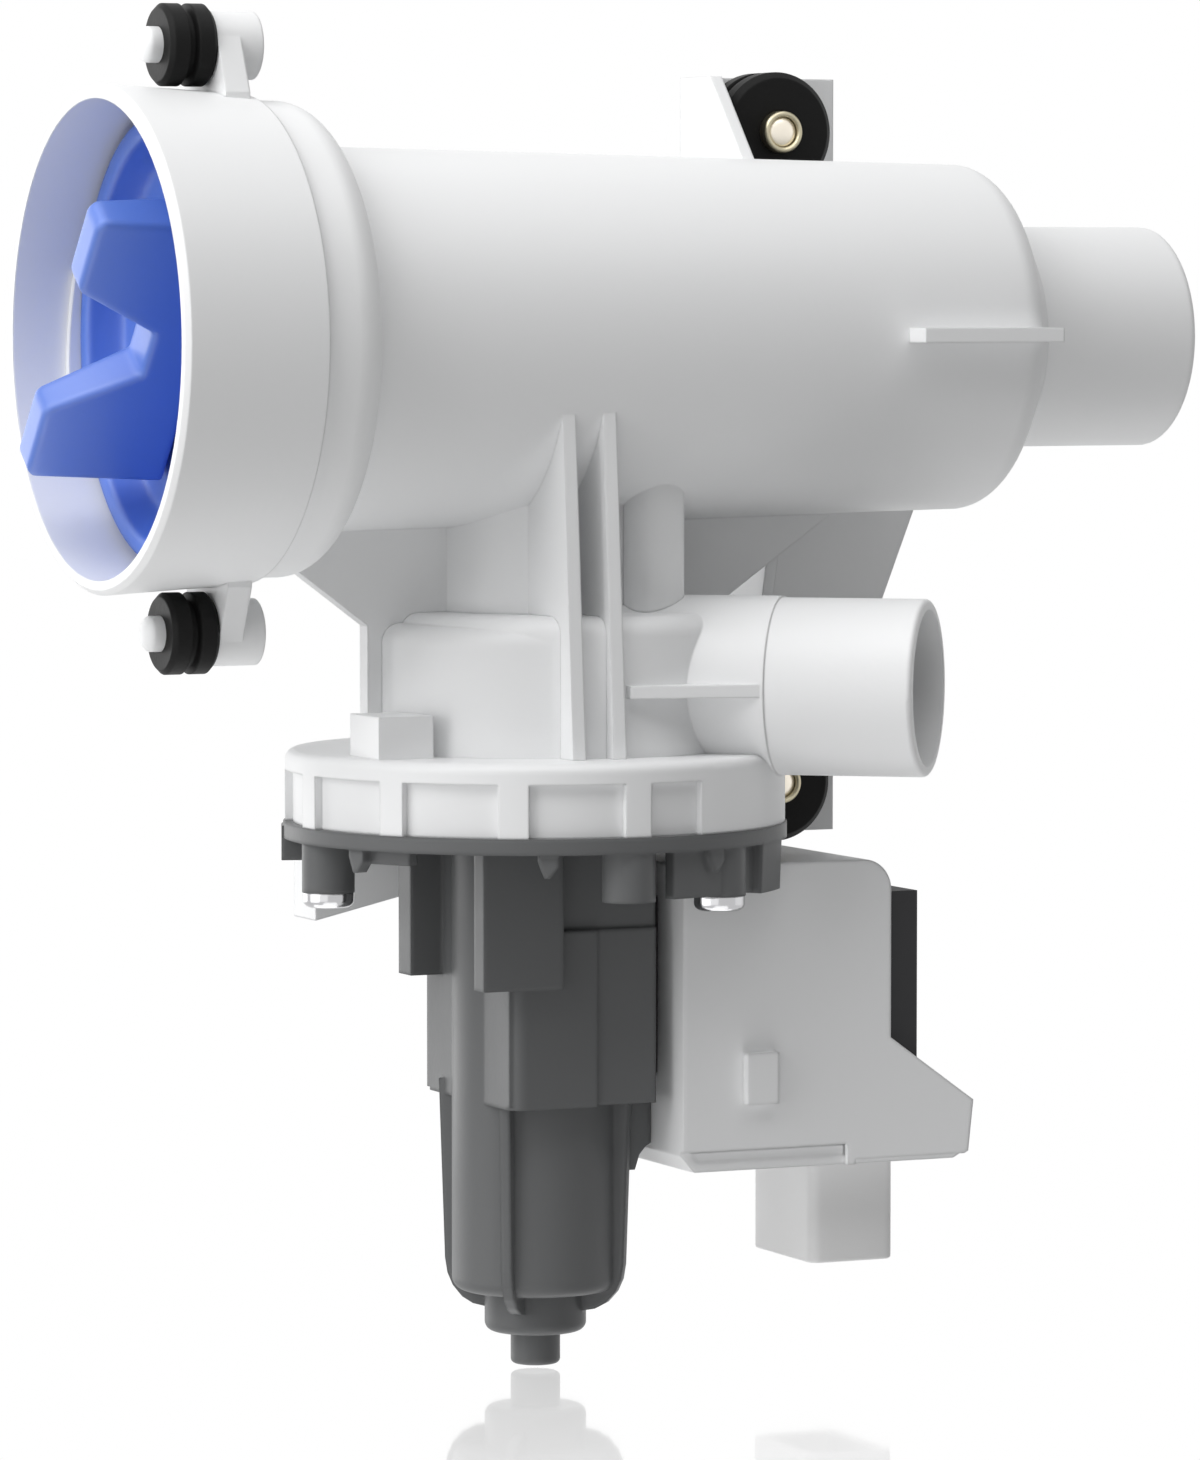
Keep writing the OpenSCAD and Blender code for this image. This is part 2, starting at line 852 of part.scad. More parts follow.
// Rubber grommets and the rear pins
module front_grommet(side) {
    color([0.1, 0.1, 0.1])
    translate([motor_x + front_grommet_x, 0, side * front_pitch])
    rotate([0, 90, 0])
    rotate_extrude()
    union() {
        polygon([[front_pin_r, 0], [front_grommet_r - 0.7, 0], [front_grommet_r, 0.7],
            [front_grommet_r, 3.1], [front_grommet_r - 1.2, 3.5], [front_grommet_r - 1.2, 4.3],
            [front_grommet_r, 4.7], [front_grommet_r, front_grommet_l - 0.7],
            [front_grommet_r - 0.7, front_grommet_l], [front_pin_r, front_grommet_l]]);
    }
}

module front_upper_grommet() {
    front_grommet(1);
}
front_upper_grommet();

module front_lower_grommet() {
    front_grommet(-1);
}
front_lower_grommet();

module rear_grommet(z) {
    color([0.1, 0.1, 0.1])
    translate([motor_x + rear_x, rear_plate_y, z])
    rotate([90, 0, 0])
    rotate_extrude()
    polygon([[rear_pin_r, 0], [rear_grommet_r - 1, 0], [rear_grommet_r, 1], [rear_grommet_r, 3.9],
        [rear_grommet_r - 2.4, 4.4], [rear_grommet_r - 2.4, 5.6], [rear_grommet_r, 6.1],
        [rear_grommet_r, 9], [rear_grommet_r - 1, 10], [rear_pin_r, 10]]);
}

module rear_upper_grommet() {
    rear_grommet(rear_up);
}
rear_upper_grommet();

module rear_lower_grommet() {
    rear_grommet(-rear_down);
}
rear_lower_grommet();

module rear_pin(z) {
    color([0.83, 0.76, 0.5])
    translate([motor_x + rear_x, rear_plate_y + rear_plate_t, z])
    rotate([90, 0, 0])
    rotate_extrude()
    union() {
        polygon([[0, -1], [rear_pin_r + 2, -1], [rear_pin_r + 2, 0], [rear_pin_r, 0],
            [rear_pin_r, rear_plate_t + 11.2], [rear_pin_r - 1, rear_plate_t + 11.2],
            [rear_pin_r - 1, rear_plate_t + 12.2], [0, rear_plate_t + 12.2]]);
        translate([rear_pin_r - 1, rear_plate_t + 11.2])
        circle(r = 1);
    }
}

module rear_upper_pin() {
    rear_pin(rear_up);
}
rear_upper_pin();

module rear_lower_pin() {
    rear_pin(-rear_down);
}
rear_lower_pin();

// Filter cap, its seal and the strainer
module grip() {
    intersection() {
        rotate([0, 90, 0])
        rotate([0, 0, 180])
        translate([0, 4, cap_front])
        rotate([90, 0, 0])
        linear_extrude(height = 8)
        polygon([[-24.5, 6], [-24.5, -2], [-22.2, 2 - grip_h], [-20.2, -grip_h], [-10, -grip_h],
            [-8.3, 1.5 - grip_h], [-3, -4.8], [3, -4.8], [8.3, 1.5 - grip_h], [10, -grip_h],
            [20.2, -grip_h], [22.2, 2 - grip_h], [24.5, -2], [24.5, 6]]);
        translate([cap_front, 0, -30])
        linear_extrude(height = 60)
        polygon([[6, -3.9], [6, 3.9], [3 - grip_h, 3.3], [-grip_h - 0.1, 1.6], [-grip_h - 0.1, -1.6],
            [3 - grip_h, -3.3]]);
    }
}

module filter_cap() {
    color([0.27, 0.38, 0.75])
    at_motor()
    union() {
        difference() {
            round_tube()
            polygon([[0, cap_face_x], [31.6, cap_face_x], [32.4, cap_front], [cap_r - 0.5, cap_front],
                [cap_r, cap_front + 0.5], [cap_r, cap_skirt_back], [cap_r - 2.2, cap_skirt_back],
                [cap_r - 2.2, cap_face_x + 2.6], [plug_r, cap_face_x + 2.6],
                [plug_r, ring_groove_x - 1.55], [plug_r - 2.65, ring_groove_x - 1.55],
                [plug_r - 2.65, ring_groove_x + 1.55], [plug_r, ring_groove_x + 1.55],
                [plug_r, plug_back], [basket_r, plug_back], [basket_r, -44.5],
                [basket_r - 1.4, -44.5], [basket_r - 1.4, cap_face_x + 2.6], [0, cap_face_x + 2.6]]);
        }
        rotate([grip_lean, 0, 0])
        grip();
        thread_part(10, cap_r - 1, lug_out, lug_front, lug_front + 2.5);
    }
}
filter_cap();

module filter_seal() {
    color([0.12, 0.12, 0.12])
    at_motor()
    round_tube()
    translate([seat_bore - ring_section - 0.05, ring_groove_x])
    circle(r = ring_section);
}
filter_seal();

module filter_strainer() {
    color([0.3, 0.42, 0.78])
    at_motor()
    union() {
        round_tube()
        polygon([[basket_r - 1.4, -44.4], [basket_r, -44.4], [basket_r, plug_back],
            [plug_r, plug_back], [plug_r, plug_back + 1.6], [basket_r - 1.4, plug_back + 1.6]]);
        for (i = [1 : 4])
            translate([plug_back + basket_len * i / 4 - 1.1, 0, 0])
            rotate([0, 90, 0])
            rotate_extrude()
            polygon([[basket_r - 1.6, -1.1], [basket_r, -1.1], [basket_r, 1.1], [basket_r - 1.6, 1.1]]);
        for (a = [0 : 36 : 324])
            rotate([a, 0, 0])
            translate([plug_back + 0.5, -1.1, basket_r - 1.5])
            cube([basket_len - 0.9, 2.2, 1.3]);
    }
}
filter_strainer();

// Rotor and impeller
module rotor_shaft() {
    color([0.75, 0.76, 0.78])
    at_motor()
    translate([0, 0, can_bottom - 3.8])
    cylinder(r = shaft_r, h = shaft_top - can_bottom + 3.8);
}
rotor_shaft();

module rotor_magnet() {
    color([0.22, 0.22, 0.23])
    at_motor()
    difference() {
        union() {
            translate([0, 0, stack_mid - 18])
            cylinder(r = magnet_r, h = 36);
            translate([0, 0, stack_mid - 24])
            cylinder(r = 5, h = 47);
        }
        translate([0, 0, stack_mid - 25])
        cylinder(r = shaft_r, h = 49);
    }
}
rotor_magnet();

module drive_dog() {
    color([0.85, 0.83, 0.75])
    at_motor()
    difference() {
        union() {
            translate([0, 0, dog_bottom])
            cylinder(r = 3.6, h = 6);
            rotate([0, 0, -18])
            translate([0, 0, dog_bottom])
            rotate_extrude(angle = 36)
            polygon([[3, 0], [key_r, 0], [key_r, 6], [3, 6]]);
        }
        translate([0, 0, dog_bottom - 1])
        cylinder(r = shaft_r, h = 8);
    }
}
drive_dog();

module impeller() {
    color([0.9, 0.9, 0.88])
    at_motor()
    union() {
        difference() {
            union() {
                translate([0, 0, wheel_bottom])
                cylinder(r = hub_r, h = 16.3);
                translate([0, 0, wheel_bottom])
                cylinder(r = impeller_r, h = 1.5);
                for (i = [0 : vane_count - 1])
                    rotate([0, 0, i * 360 / vane_count])
                    translate([key_r, -0.9, wheel_bottom + 0.8])
                    cube([impeller_r - key_r, 1.8, 14]);
            }
            translate([0, 0, wheel_bottom - 1.2])
            cylinder(r = key_r + 0.3, h = 9.4);
            translate([0, 0, wheel_bottom - 1.2])
            cylinder(r = shaft_r + 0.04, h = 16.4);
        }
        rotate([0, 0, 162])
        translate([0, 0, wheel_bottom + 0.8])
        rotate_extrude(angle = 36)
        polygon([[3.9, 0], [key_r + 0.8, 0], [key_r + 0.8, 8], [3.9, 8]]);
    }
}
impeller();
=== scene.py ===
"""Looks of the washer drain pump: materials, small surface detail, studio light and camera."""

import math

import bmesh
import bpy
from mathutils import Matrix, Vector


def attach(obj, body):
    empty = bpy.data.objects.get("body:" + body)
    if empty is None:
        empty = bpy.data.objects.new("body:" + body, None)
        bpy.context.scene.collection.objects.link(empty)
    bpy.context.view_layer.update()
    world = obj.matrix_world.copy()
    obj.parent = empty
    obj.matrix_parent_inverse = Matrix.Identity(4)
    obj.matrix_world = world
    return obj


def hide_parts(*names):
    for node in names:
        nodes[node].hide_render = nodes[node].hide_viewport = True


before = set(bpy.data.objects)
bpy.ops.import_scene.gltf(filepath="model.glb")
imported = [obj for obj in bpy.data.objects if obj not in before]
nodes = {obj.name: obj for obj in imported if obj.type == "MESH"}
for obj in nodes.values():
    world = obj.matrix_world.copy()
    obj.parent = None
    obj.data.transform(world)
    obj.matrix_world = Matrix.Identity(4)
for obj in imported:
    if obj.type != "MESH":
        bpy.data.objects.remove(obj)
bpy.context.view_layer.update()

# Places shared by the pieces, the floor and the lights
MM = 0.001
MOTOR_X = -0.0955
TIP_Z = -0.1639
CENTRE = (MOTOR_X + 0.01, 0.0, -0.05)


def link(tree, *pairs):
    """Connect output sockets to input sockets, two by two."""
    for source, target in pairs:
        tree.links.new(source, target)


def set_inputs(node, **values):
    """Set a node's inputs, where an underscore stands for a space in the socket's name."""
    for key, value in values.items():
        node.inputs[key.replace("_", " ")].default_value = value


# Materials
GRAIN_STRENGTH, EDGE_SAMPLES, PATCH_SCALE = 0.6, 6, 40.0


def principled(name, color, rough, metallic, specular):
    """A plain surface with uniform values on its shader."""
    mat = bpy.data.materials.new(name)
    mat.use_nodes = True
    shader = mat.node_tree.nodes["Principled BSDF"]
    set_inputs(shader, Base_Color=(*color, 1.0), Roughness=rough, Metallic=metallic, IOR=1.46,
               Specular_IOR_Level=specular)
    return mat


def add_grain(mat, scale, depth, rough_from, rough_to, edge):
    """Fine moulded grain as bump, soft patches where the surface shines more or less, and softened edges."""
    tree = mat.node_tree
    shader = tree.nodes["Principled BSDF"]
    coords = tree.nodes.new("ShaderNodeTexCoord")
    noise = tree.nodes.new("ShaderNodeTexNoise")
    set_inputs(noise, Scale=scale, Detail=3.0)
    bump = tree.nodes.new("ShaderNodeBump")
    set_inputs(bump, Distance=depth, Strength=GRAIN_STRENGTH)
    soft = tree.nodes.new("ShaderNodeBevel")
    soft.samples = EDGE_SAMPLES
    set_inputs(soft, Radius=edge)
    patches = tree.nodes.new("ShaderNodeTexNoise")
    set_inputs(patches, Scale=PATCH_SCALE, Detail=4.0)
    ramp = tree.nodes.new("ShaderNodeMapRange")
    set_inputs(ramp, From_Min=0.3, From_Max=0.7, To_Min=rough_from, To_Max=rough_to)
    link(tree, (soft.outputs["Normal"], bump.inputs["Normal"]),
         (coords.outputs["Object"], noise.inputs["Vector"]),
         (noise.outputs["Fac"], bump.inputs["Height"]),
         (bump.outputs["Normal"], shader.inputs["Normal"]),
         (coords.outputs["Object"], patches.inputs["Vector"]),
         (patches.outputs["Fac"], ramp.inputs["Value"]),
         (ramp.outputs["Result"], shader.inputs["Roughness"]))


# Per material: colour, roughness, metallic, specular, grain scale and depth, roughness range, edge radius
SURFACES = {
    "white_housing": ((0.84, 0.845, 0.85), 0.42, 0.0, 0.5, 900.0, 0.00003, 0.38, 0.5, 0.0005),
    "grey_housing": ((0.128, 0.131, 0.133), 0.42, 0.0, 0.22, 1100.0, 0.00004, 0.36, 0.5, 0.001),
    "cover": ((0.86, 0.865, 0.87), 0.45, 0.0, 0.5, 900.0, 0.00003, 0.4, 0.52, 0.0009),
    "shroud": ((0.82, 0.82, 0.82), 0.48, 0.0, 0.5, 900.0, 0.00003, 0.42, 0.54, 0.0009),
    "blue_cap": ((0.075, 0.174, 0.61), 0.36, 0.0, 0.9, 900.0, 0.00003, 0.3, 0.44, 0.0016),
    "blue_strainer": ((0.055, 0.125, 0.48), 0.45, 0.0, 0.5, 900.0, 0.00003, 0.4, 0.52, 0.0005),
    "black_rubber": ((0.008, 0.008, 0.008), 0.5, 0.0, 0.12, 1500.0, 0.00005, 0.4, 0.62, 0.0005),
    "seal_rubber": ((0.012, 0.012, 0.012), 0.55, 0.0, 0.2, 1500.0, 0.00003, 0.45, 0.65, 0.0005),
    "brass_pin": ((0.86, 0.78, 0.56), 0.2, 1.0, 0.5, 700.0, 0.00001, 0.14, 0.26, 0.0005),
    "screw_steel": ((0.5, 0.5, 0.51), 0.16, 1.0, 0.5, 900.0, 0.00001, 0.1, 0.22, 0.0005),
    "shaft_steel": ((0.55, 0.55, 0.56), 0.3, 1.0, 0.5, 900.0, 0.00001, 0.24, 0.36, 0.0005),
    "lamination": ((0.03, 0.03, 0.032), 0.5, 0.0, 0.3, 800.0, 0.00004, 0.42, 0.6, 0.0005),
    "bearing_holder": ((0.03, 0.03, 0.03), 0.5, 0.0, 0.5, 900.0, 0.00003, 0.42, 0.6, 0.0005),
    "sintered_bronze": ((0.45, 0.32, 0.16), 0.45, 1.0, 0.5, 1500.0, 0.00003, 0.4, 0.55, 0.0005),
    "bobbin": ((0.62, 0.58, 0.46), 0.5, 0.0, 0.5, 900.0, 0.00003, 0.42, 0.58, 0.0005),
    "copper_wire": ((0.5, 0.16, 0.05), 0.35, 0.6, 0.5, 900.0, 0.00003, 0.3, 0.42, 0.0005),
    "pin_ring": ((0.47, 0.43, 0.31), 0.26, 1.0, 0.5, 700.0, 0.00001, 0.2, 0.34, 0.0005),
    "pin_middle": ((0.86, 0.8, 0.69), 0.3, 1.0, 0.5, 700.0, 0.00002, 0.24, 0.4, 0.0005),
    "tinned_blade": ((0.7, 0.68, 0.62), 0.3, 1.0, 0.5, 900.0, 0.00001, 0.24, 0.38, 0.0005),
    "magnet": ((0.03, 0.03, 0.032), 0.55, 0.0, 0.5, 900.0, 0.00003, 0.48, 0.62, 0.0005),
    "dog": ((0.6, 0.56, 0.44), 0.5, 0.0, 0.5, 900.0, 0.00003, 0.42, 0.58, 0.0005),
    "impeller": ((0.68, 0.68, 0.65), 0.45, 0.0, 0.5, 900.0, 0.00003, 0.4, 0.52, 0.0005),
}
materials = {}
for name, (color, rough, metallic, specular, *grain) in SURFACES.items():
    materials[name] = principled(name, color, rough, metallic, specular)
    add_grain(materials[name], *grain)

NODE_SURFACES = {
    "filter_tube": "white_housing", "pump_chamber": "white_housing", "rear_bracket": "white_housing",
    "motor_housing": "grey_housing", "motor_seal": "seal_rubber", "front_bearing": "bearing_holder",
    "rear_bearing": "sintered_bronze", "stator_core": "lamination", "front_bobbin": "bobbin",
    "rear_bobbin": "bobbin", "front_winding": "copper_wire", "rear_winding": "copper_wire",
    "coil_cover": "cover", "connector_shroud": "shroud", "front_terminal": "tinned_blade",
    "rear_terminal": "tinned_blade", "left_screw": "screw_steel", "front_screw": "screw_steel",
    "rear_screw": "screw_steel", "front_upper_grommet": "black_rubber", "front_lower_grommet": "black_rubber",
    "rear_upper_grommet": "black_rubber", "rear_lower_grommet": "black_rubber", "rear_upper_pin": "brass_pin",
    "rear_lower_pin": "brass_pin", "filter_seal": "seal_rubber", "filter_cap": "blue_cap",
    "filter_strainer": "blue_strainer", "rotor_shaft": "shaft_steel", "rotor_magnet": "magnet",
    "drive_dog": "dog", "impeller": "impeller",
}
for name, surface in NODE_SURFACES.items():
    nodes[name].data.materials.clear()
    nodes[name].data.materials.append(materials[surface])


# Pieces with softer edges or finer form than the solids have
SHARP = math.radians(32)
MERGE = 1e-7


def piece(name, points, faces, mat, body, soft_edge):
    """A mesh from points in millimetres from the motor axis, with rounded edges, on its CAD body."""
    mesh = bpy.data.meshes.new(name)
    mesh.from_pydata([(MOTOR_X + x * MM, y * MM, z * MM) for x, y, z in points], [], faces)
    mesh.validate()
    shape = bmesh.new()
    shape.from_mesh(mesh)
    bmesh.ops.remove_doubles(shape, verts=shape.verts, dist=MERGE)
    bmesh.ops.recalc_face_normals(shape, faces=shape.faces)
    shape.to_mesh(mesh)
    shape.free()
    mesh.polygons.foreach_set("use_smooth", [True] * len(mesh.polygons))
    mesh.set_sharp_from_angle(angle=SHARP)
    mesh.materials.append(mat)
    obj = bpy.data.objects.new(name, mesh)
    bpy.context.scene.collection.objects.link(obj)
    rounding = obj.modifiers.new("rounding", "BEVEL")
    rounding.width = soft_edge
    rounding.segments = 4
    rounding.limit_method = "ANGLE"
    rounding.angle_limit = SHARP
    rounding.harden_normals = True
    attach(obj, body)
    return obj


def ring_faces(count, rings, closed=False):
    """Quads between rings of count points each, in order, and back to the first ring when closed."""
    faces = []
    for ring in range(rings if closed else rings - 1):
        a, b = ring * count, (ring + 1) % rings * count
        for i in range(count):
            j = (i + 1) % count
            faces.append((a + i, a + j, b + j, b + i))
    return faces


# Filter cap: a turned plug with a recessed face
CAP_FRONT, CAP_FACE, CAP_BACK, CAP_R, RIM_T = -63.5, -57.2, -56.4, 35.0, 2.2
PLUG_R, PLUG_END, GROOVE_T, GROOVE_X0, GROOVE_X1 = 27.35, -36.0, 2.65, -40.55, -37.45
BASKET_R, BASKET_SEAT, BASKET_FLOOR, BASKET_LIP, CAP_STEPS = 24.4, -44.5, -51.0, 1.4, 96
CAP_PROFILE = [
    (0.0, CAP_FACE), (28.5, CAP_FACE), (30.4, CAP_FACE - 0.7), (31.2, CAP_FACE - 2.4),
    (32.0, CAP_FRONT + 0.3), (32.4, CAP_FRONT), (CAP_R, CAP_FRONT), (CAP_R, CAP_BACK + 0.4),
    (CAP_R - RIM_T, CAP_BACK + 0.4), (CAP_R - RIM_T, CAP_BACK), (PLUG_R, CAP_BACK), (PLUG_R, GROOVE_X0),
    (PLUG_R - GROOVE_T, GROOVE_X0), (PLUG_R - GROOVE_T, GROOVE_X1), (PLUG_R, GROOVE_X1), (PLUG_R, PLUG_END),
    (BASKET_R, PLUG_END), (BASKET_R, BASKET_SEAT), (BASKET_R - BASKET_LIP, BASKET_SEAT),
    (BASKET_R - BASKET_LIP, BASKET_FLOOR), (0.0, BASKET_FLOOR),
]
points = []
for i in range(CAP_STEPS):
    turn = math.tau * i / CAP_STEPS
    points += [(x, radius * math.cos(turn), radius * math.sin(turn)) for radius, x in CAP_PROFILE]
faces = ring_faces(len(CAP_PROFILE), CAP_STEPS, closed=True)
cap = piece("cap_body", points, faces, materials["blue_cap"], "filter", 0.0005)
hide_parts("filter_cap")

# Grip of the cap: two jaws across the face, leaning, each point given as height and place along the grip
GRIP_LEAN, GRIP_H, GRIP_HALF, GRIP_TAPER, GRIP_END = math.radians(40.0), 16.8, 4.0, 0.07, 25.6
jaw = [(-5.5, GRIP_END), (GRIP_H - 1.0, GRIP_END), (GRIP_H, GRIP_END - 1.4), (GRIP_H, 12.4),
       (GRIP_H - 0.8, 11.4), (3.0, 4.2)]
outline = jaw + [(h, -t) for h, t in reversed(jaw)]
points = []
for side in (-1.0, 1.0):
    for h, t in outline:
        v = side * (GRIP_HALF - GRIP_TAPER * h)
        points.append((CAP_FRONT - h, v * math.cos(GRIP_LEAN) - t * math.sin(GRIP_LEAN),
                       v * math.sin(GRIP_LEAN) + t * math.cos(GRIP_LEAN)))
count = len(outline)
faces = [tuple(range(count)), tuple(range(2 * count - 1, count - 1, -1))] + ring_faces(count, 2)
piece("cap_grip", points, faces, materials["blue_cap"], "filter", 0.0008)

# Lugs of the cap: three short ledges that climb along the thread
LUG_R0, LUG_R1, LUG_X, LUG_L, THREAD_LEAD = 34.0, 36.2, -62.9, 2.5, 12.0
LUG_COUNT, LUG_TURN, LUG_HALF, LUG_STEPS = 3, 25.0, 10.0, 8
for lug in range(LUG_COUNT):
    points = []
    for i in range(LUG_STEPS + 1):
        local = math.radians(2 * LUG_HALF * i / LUG_STEPS - LUG_HALF)
        turn = math.radians(lug * 360.0 / LUG_COUNT + LUG_TURN) + local
        climb = THREAD_LEAD * local / math.tau
        for radius, x in ((LUG_R0, 0.0), (LUG_R1, 0.0), (LUG_R1, LUG_L), (LUG_R0, LUG_L)):
            points.append((LUG_X + x - climb, radius * -math.sin(turn), radius * math.cos(turn)))
    last = 4 * LUG_STEPS
    faces = ring_faces(4, LUG_STEPS + 1) + [(0, 1, 2, 3), (last + 3, last + 2, last + 1, last)]
    piece("cap_lug_%d" % (lug + 1), points, faces, materials["blue_cap"], "filter", 0.0003)


# Connector shroud: a rounded box, open at the bottom round the two blades
SHROUD_X, SHROUD_L, SHROUD_Y, SHROUD_HALF, SHROUD_WALL = 43.1, 15.0, -1.1, 11.0, 1.5
SHROUD_TOP, SHROUD_BOTTOM, SHROUD_CEILING, OUTER_R, INNER_R = -131.5, -148.4, -135.4, 1.9, 0.5


def rounded_box(inset, radius, z):
    """One ring of a rounded rectangle, drawn in by inset, at height z."""
    ring = []
    middle = SHROUD_X + SHROUD_L / 2
    half_x, half_y = SHROUD_L / 2 - inset - radius, SHROUD_HALF - inset - radius
    for cx, cy, start in ((1, 1, 0), (-1, 1, 90), (-1, -1, 180), (1, -1, 270)):
        for step in range(7):
            turn = math.radians(start + 15 * step)
            ring.append((middle + cx * half_x + radius * math.cos(turn),
                         SHROUD_Y + cy * half_y + radius * math.sin(turn), z))
    return ring


rings = [rounded_box(0.0, OUTER_R, SHROUD_TOP), rounded_box(0.0, OUTER_R, SHROUD_BOTTOM),
         rounded_box(SHROUD_WALL, INNER_R, SHROUD_BOTTOM), rounded_box(SHROUD_WALL, INNER_R, SHROUD_CEILING)]
count = len(rings[0])
faces = ring_faces(count, 4) + [tuple(range(count)), tuple(range(4 * count - 1, 3 * count - 1, -1))]
box = piece("shroud_shell", sum(rings, []), faces, materials["shroud"], "pump_body", 0.0012)
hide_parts("connector_shroud")


# Rear pins: a rolled ring round a shallow, lighter middle, and a flat head behind the plate
PIN_R, PIN_HEAD_R, PIN_HEAD_T, PIN_DISH, PIN_STEPS = 3.45, 5.45, 1.0, 1.2, 64
MIDDLE_PROFILE = [(0.0, 0.35), (PIN_R - 2.2, 0.4), (PIN_R - 1.3, 0.65), (PIN_R - 1.0, 0.95),
                  (PIN_R - 1.0, 1.6), (0.0, 1.6)]


def pin_span(node):
    """Axis place, front and back of a pin, in millimetres, from its CAD node."""
    corners = [nodes[node].matrix_world @ Vector(corner) for corner in nodes[node].bound_box]
    low = [min(c[i] for c in corners) / MM for i in range(3)]
    high = [max(c[i] for c in corners) / MM for i in range(3)]
    return (low[0] + high[0]) / 2 - MOTOR_X / MM, (low[2] + high[2]) / 2, low[1], high[1]


def turned_pin(name, profile, mat, x, z, front, soft_edge):
    """A profile of radius and depth behind the front, turned round the axis of a pin."""
    points = []
    for i in range(PIN_STEPS):
        turn = math.tau * i / PIN_STEPS
        points += [(x + radius * math.cos(turn), front + depth, z + radius * math.sin(turn))
                   for radius, depth in profile]
    faces = ring_faces(len(profile), PIN_STEPS, closed=True)
    return piece(name, points, faces, mat, "pump_body", soft_edge)


for node in ("rear_upper_pin", "rear_lower_pin"):
    x, z, front, back = pin_span(node)
    neck = back - front - PIN_HEAD_T
    profile = [(0.0, PIN_DISH), (PIN_R - 0.95, PIN_DISH), (PIN_R - 0.95, 0.35), (PIN_R - 0.65, 0.05),
               (PIN_R - 0.3, 0.05), (PIN_R, 0.5), (PIN_R, neck), (PIN_HEAD_R, neck),
               (PIN_HEAD_R, neck + PIN_HEAD_T), (0.0, neck + PIN_HEAD_T)]
    ring = turned_pin(node + "_ring", profile, materials["pin_ring"], x, z, front, 0.00015)
    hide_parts(node)
    turned_pin(node + "_middle", MIDDLE_PROFILE, materials["pin_middle"], x, z, front, 0.0001)


# Background: white where the camera and reflections see it, dim as a light
AMBIENT = 0.13
WHITE = (1.0, 1.0, 1.0, 1.0)
world = bpy.data.worlds.new("studio")
bpy.context.scene.world = world
world.use_nodes = True
tree = world.node_tree
back = tree.nodes["Background"]
set_inputs(back, Color=WHITE, Strength=AMBIENT)
seen_white = tree.nodes.new("ShaderNodeBackground")
set_inputs(seen_white, Color=WHITE, Strength=1.0)
rays = tree.nodes.new("ShaderNodeLightPath")
mix = tree.nodes.new("ShaderNodeMixShader")
seen = tree.nodes.new("ShaderNodeMath")
seen.operation = "MAXIMUM"
link(tree, (rays.outputs["Is Camera Ray"], seen.inputs[0]),
     (rays.outputs["Is Glossy Ray"], seen.inputs[1]),
     (seen.outputs["Value"], mix.inputs["Fac"]),
     (back.outputs["Background"], mix.inputs[1]),
     (seen_white.outputs["Background"], mix.inputs[2]),
     (mix.outputs["Shader"], tree.nodes["World Output"].inputs["Surface"]))

# Floor: clear, with a mirror image that fades toward the viewer
FLOOR_SIZE, MIRROR_ROUGH, MIRROR_MOST = 0.6, 0.05, 0.42
bpy.ops.mesh.primitive_plane_add(size=FLOOR_SIZE, location=(MOTOR_X, 0.0, TIP_Z))
floor = bpy.context.object
floor.name = "floor"
floor_mat = bpy.data.materials.new("floor")
floor_mat.use_nodes = True
tree = floor_mat.node_tree
tree.nodes.remove(tree.nodes["Principled BSDF"])
clear = tree.nodes.new("ShaderNodeBsdfTransparent")
mirror = tree.nodes.new("ShaderNodeBsdfGlossy")
set_inputs(mirror, Color=WHITE, Roughness=MIRROR_ROUGH)
coords = tree.nodes.new("ShaderNodeTexCoord")
parts = tree.nodes.new("ShaderNodeSeparateXYZ")
fade = tree.nodes.new("ShaderNodeMapRange")
set_inputs(fade, From_Min=-0.22, From_Max=-0.004, To_Min=0.0, To_Max=MIRROR_MOST)
rays = tree.nodes.new("ShaderNodeLightPath")
seen = tree.nodes.new("ShaderNodeMath")
seen.operation = "MULTIPLY"
mix = tree.nodes.new("ShaderNodeMixShader")
link(tree, (coords.outputs["Object"], parts.inputs["Vector"]),
     (parts.outputs["Y"], fade.inputs["Value"]),
     (fade.outputs["Result"], seen.inputs[0]),
     (rays.outputs["Is Camera Ray"], seen.inputs[1]),
     (seen.outputs["Value"], mix.inputs["Fac"]),
     (clear.outputs["BSDF"], mix.inputs[1]),
     (mirror.outputs["BSDF"], mix.inputs[2]),
     (mix.outputs["Shader"], tree.nodes["Material Output"].inputs["Surface"]))
floor.data.materials.append(floor_mat)


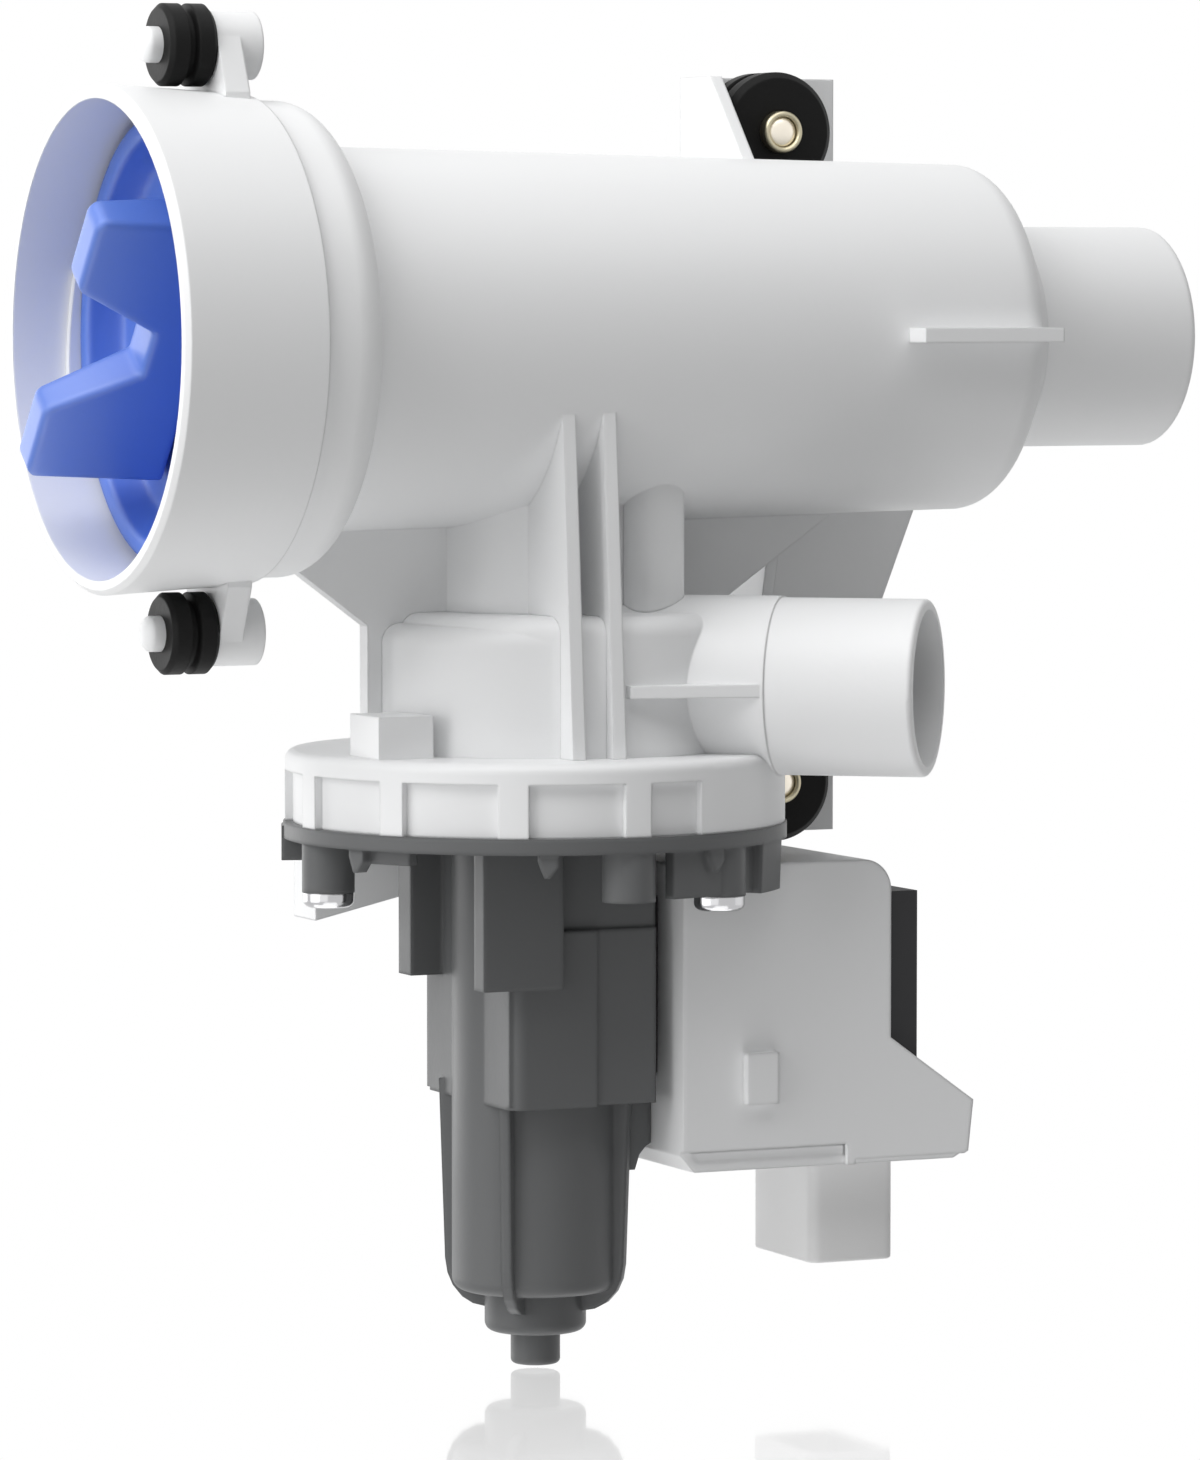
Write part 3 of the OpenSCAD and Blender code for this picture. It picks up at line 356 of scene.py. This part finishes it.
# Lights
def softbox(name, where, size, power):
    """A rectangular lamp that faces the middle of the pump."""
    data = bpy.data.lights.new(name, "AREA")
    data.shape = "RECTANGLE"
    data.size, data.size_y = size
    data.energy = power
    lamp = bpy.data.objects.new(name, data)
    bpy.context.scene.collection.objects.link(lamp)
    lamp.location = where
    lamp.rotation_mode = "QUATERNION"
    lamp.rotation_quaternion = (Vector(CENTRE) - Vector(where)).to_track_quat("-Z", "Y")


softbox("top_front_box", (-0.10, -0.35, 0.80), (0.9, 0.7), 3.7)
softbox("top_back_box", (-0.10, 0.30, 0.80), (0.9, 0.7), 0.9)
softbox("top_left_box", (-0.75, -0.10, 0.60), (0.7, 0.7), 5.5)
softbox("left_box", (-1.05, -0.05, -0.04), (0.8, 0.8), 3.4)
softbox("left_back_box", (-0.55, 0.90, 0.05), (0.8, 0.8), 3.2)
softbox("front_left_box", (-0.75, -0.65, -0.02), (0.6, 0.6), 0.6)
softbox("right_box", (0.85, -0.30, 0.05), (0.8, 0.9), 0.6)
softbox("low_front_box", (-0.25, -0.60, -0.75), (0.9, 0.8), 2.1)
softbox("low_box", (-0.15, 0.10, -0.85), (0.9, 0.9), 3.2)


# Camera: its target lies a little right of the motor axis and below the tube
AZIMUTH, PITCH, DISTANCE = math.radians(-24.6), math.radians(3.7), 1.1
TARGET_RIGHT, TARGET_DOWN = 0.010317, 0.062034
right = Vector((math.cos(AZIMUTH), math.sin(AZIMUTH), 0.0))
look = Vector((-math.sin(AZIMUTH) * math.cos(PITCH), math.cos(AZIMUTH) * math.cos(PITCH), -math.sin(PITCH)))
up = right.cross(look)
target = Vector((MOTOR_X, 0.0, 0.0)) + right * TARGET_RIGHT + Vector((0.0, 0.0, -TARGET_DOWN))
camera_data = bpy.data.cameras.new("camera")
camera = bpy.data.objects.new("camera", camera_data)
bpy.context.scene.collection.objects.link(camera)
camera_data.lens = 170.88
camera_data.sensor_width = 36.0
camera_data.clip_start, camera_data.clip_end = 0.05, 20.0
camera.matrix_world = Matrix.Translation(target - look * DISTANCE) @ Matrix((
    (right.x, up.x, -look.x, 0.0), (right.y, up.y, -look.y, 0.0), (right.z, up.z, -look.z, 0.0),
    (0.0, 0.0, 0.0, 1.0)))
bpy.context.scene.camera = camera

bpy.context.scene.view_settings.view_transform = "Standard"
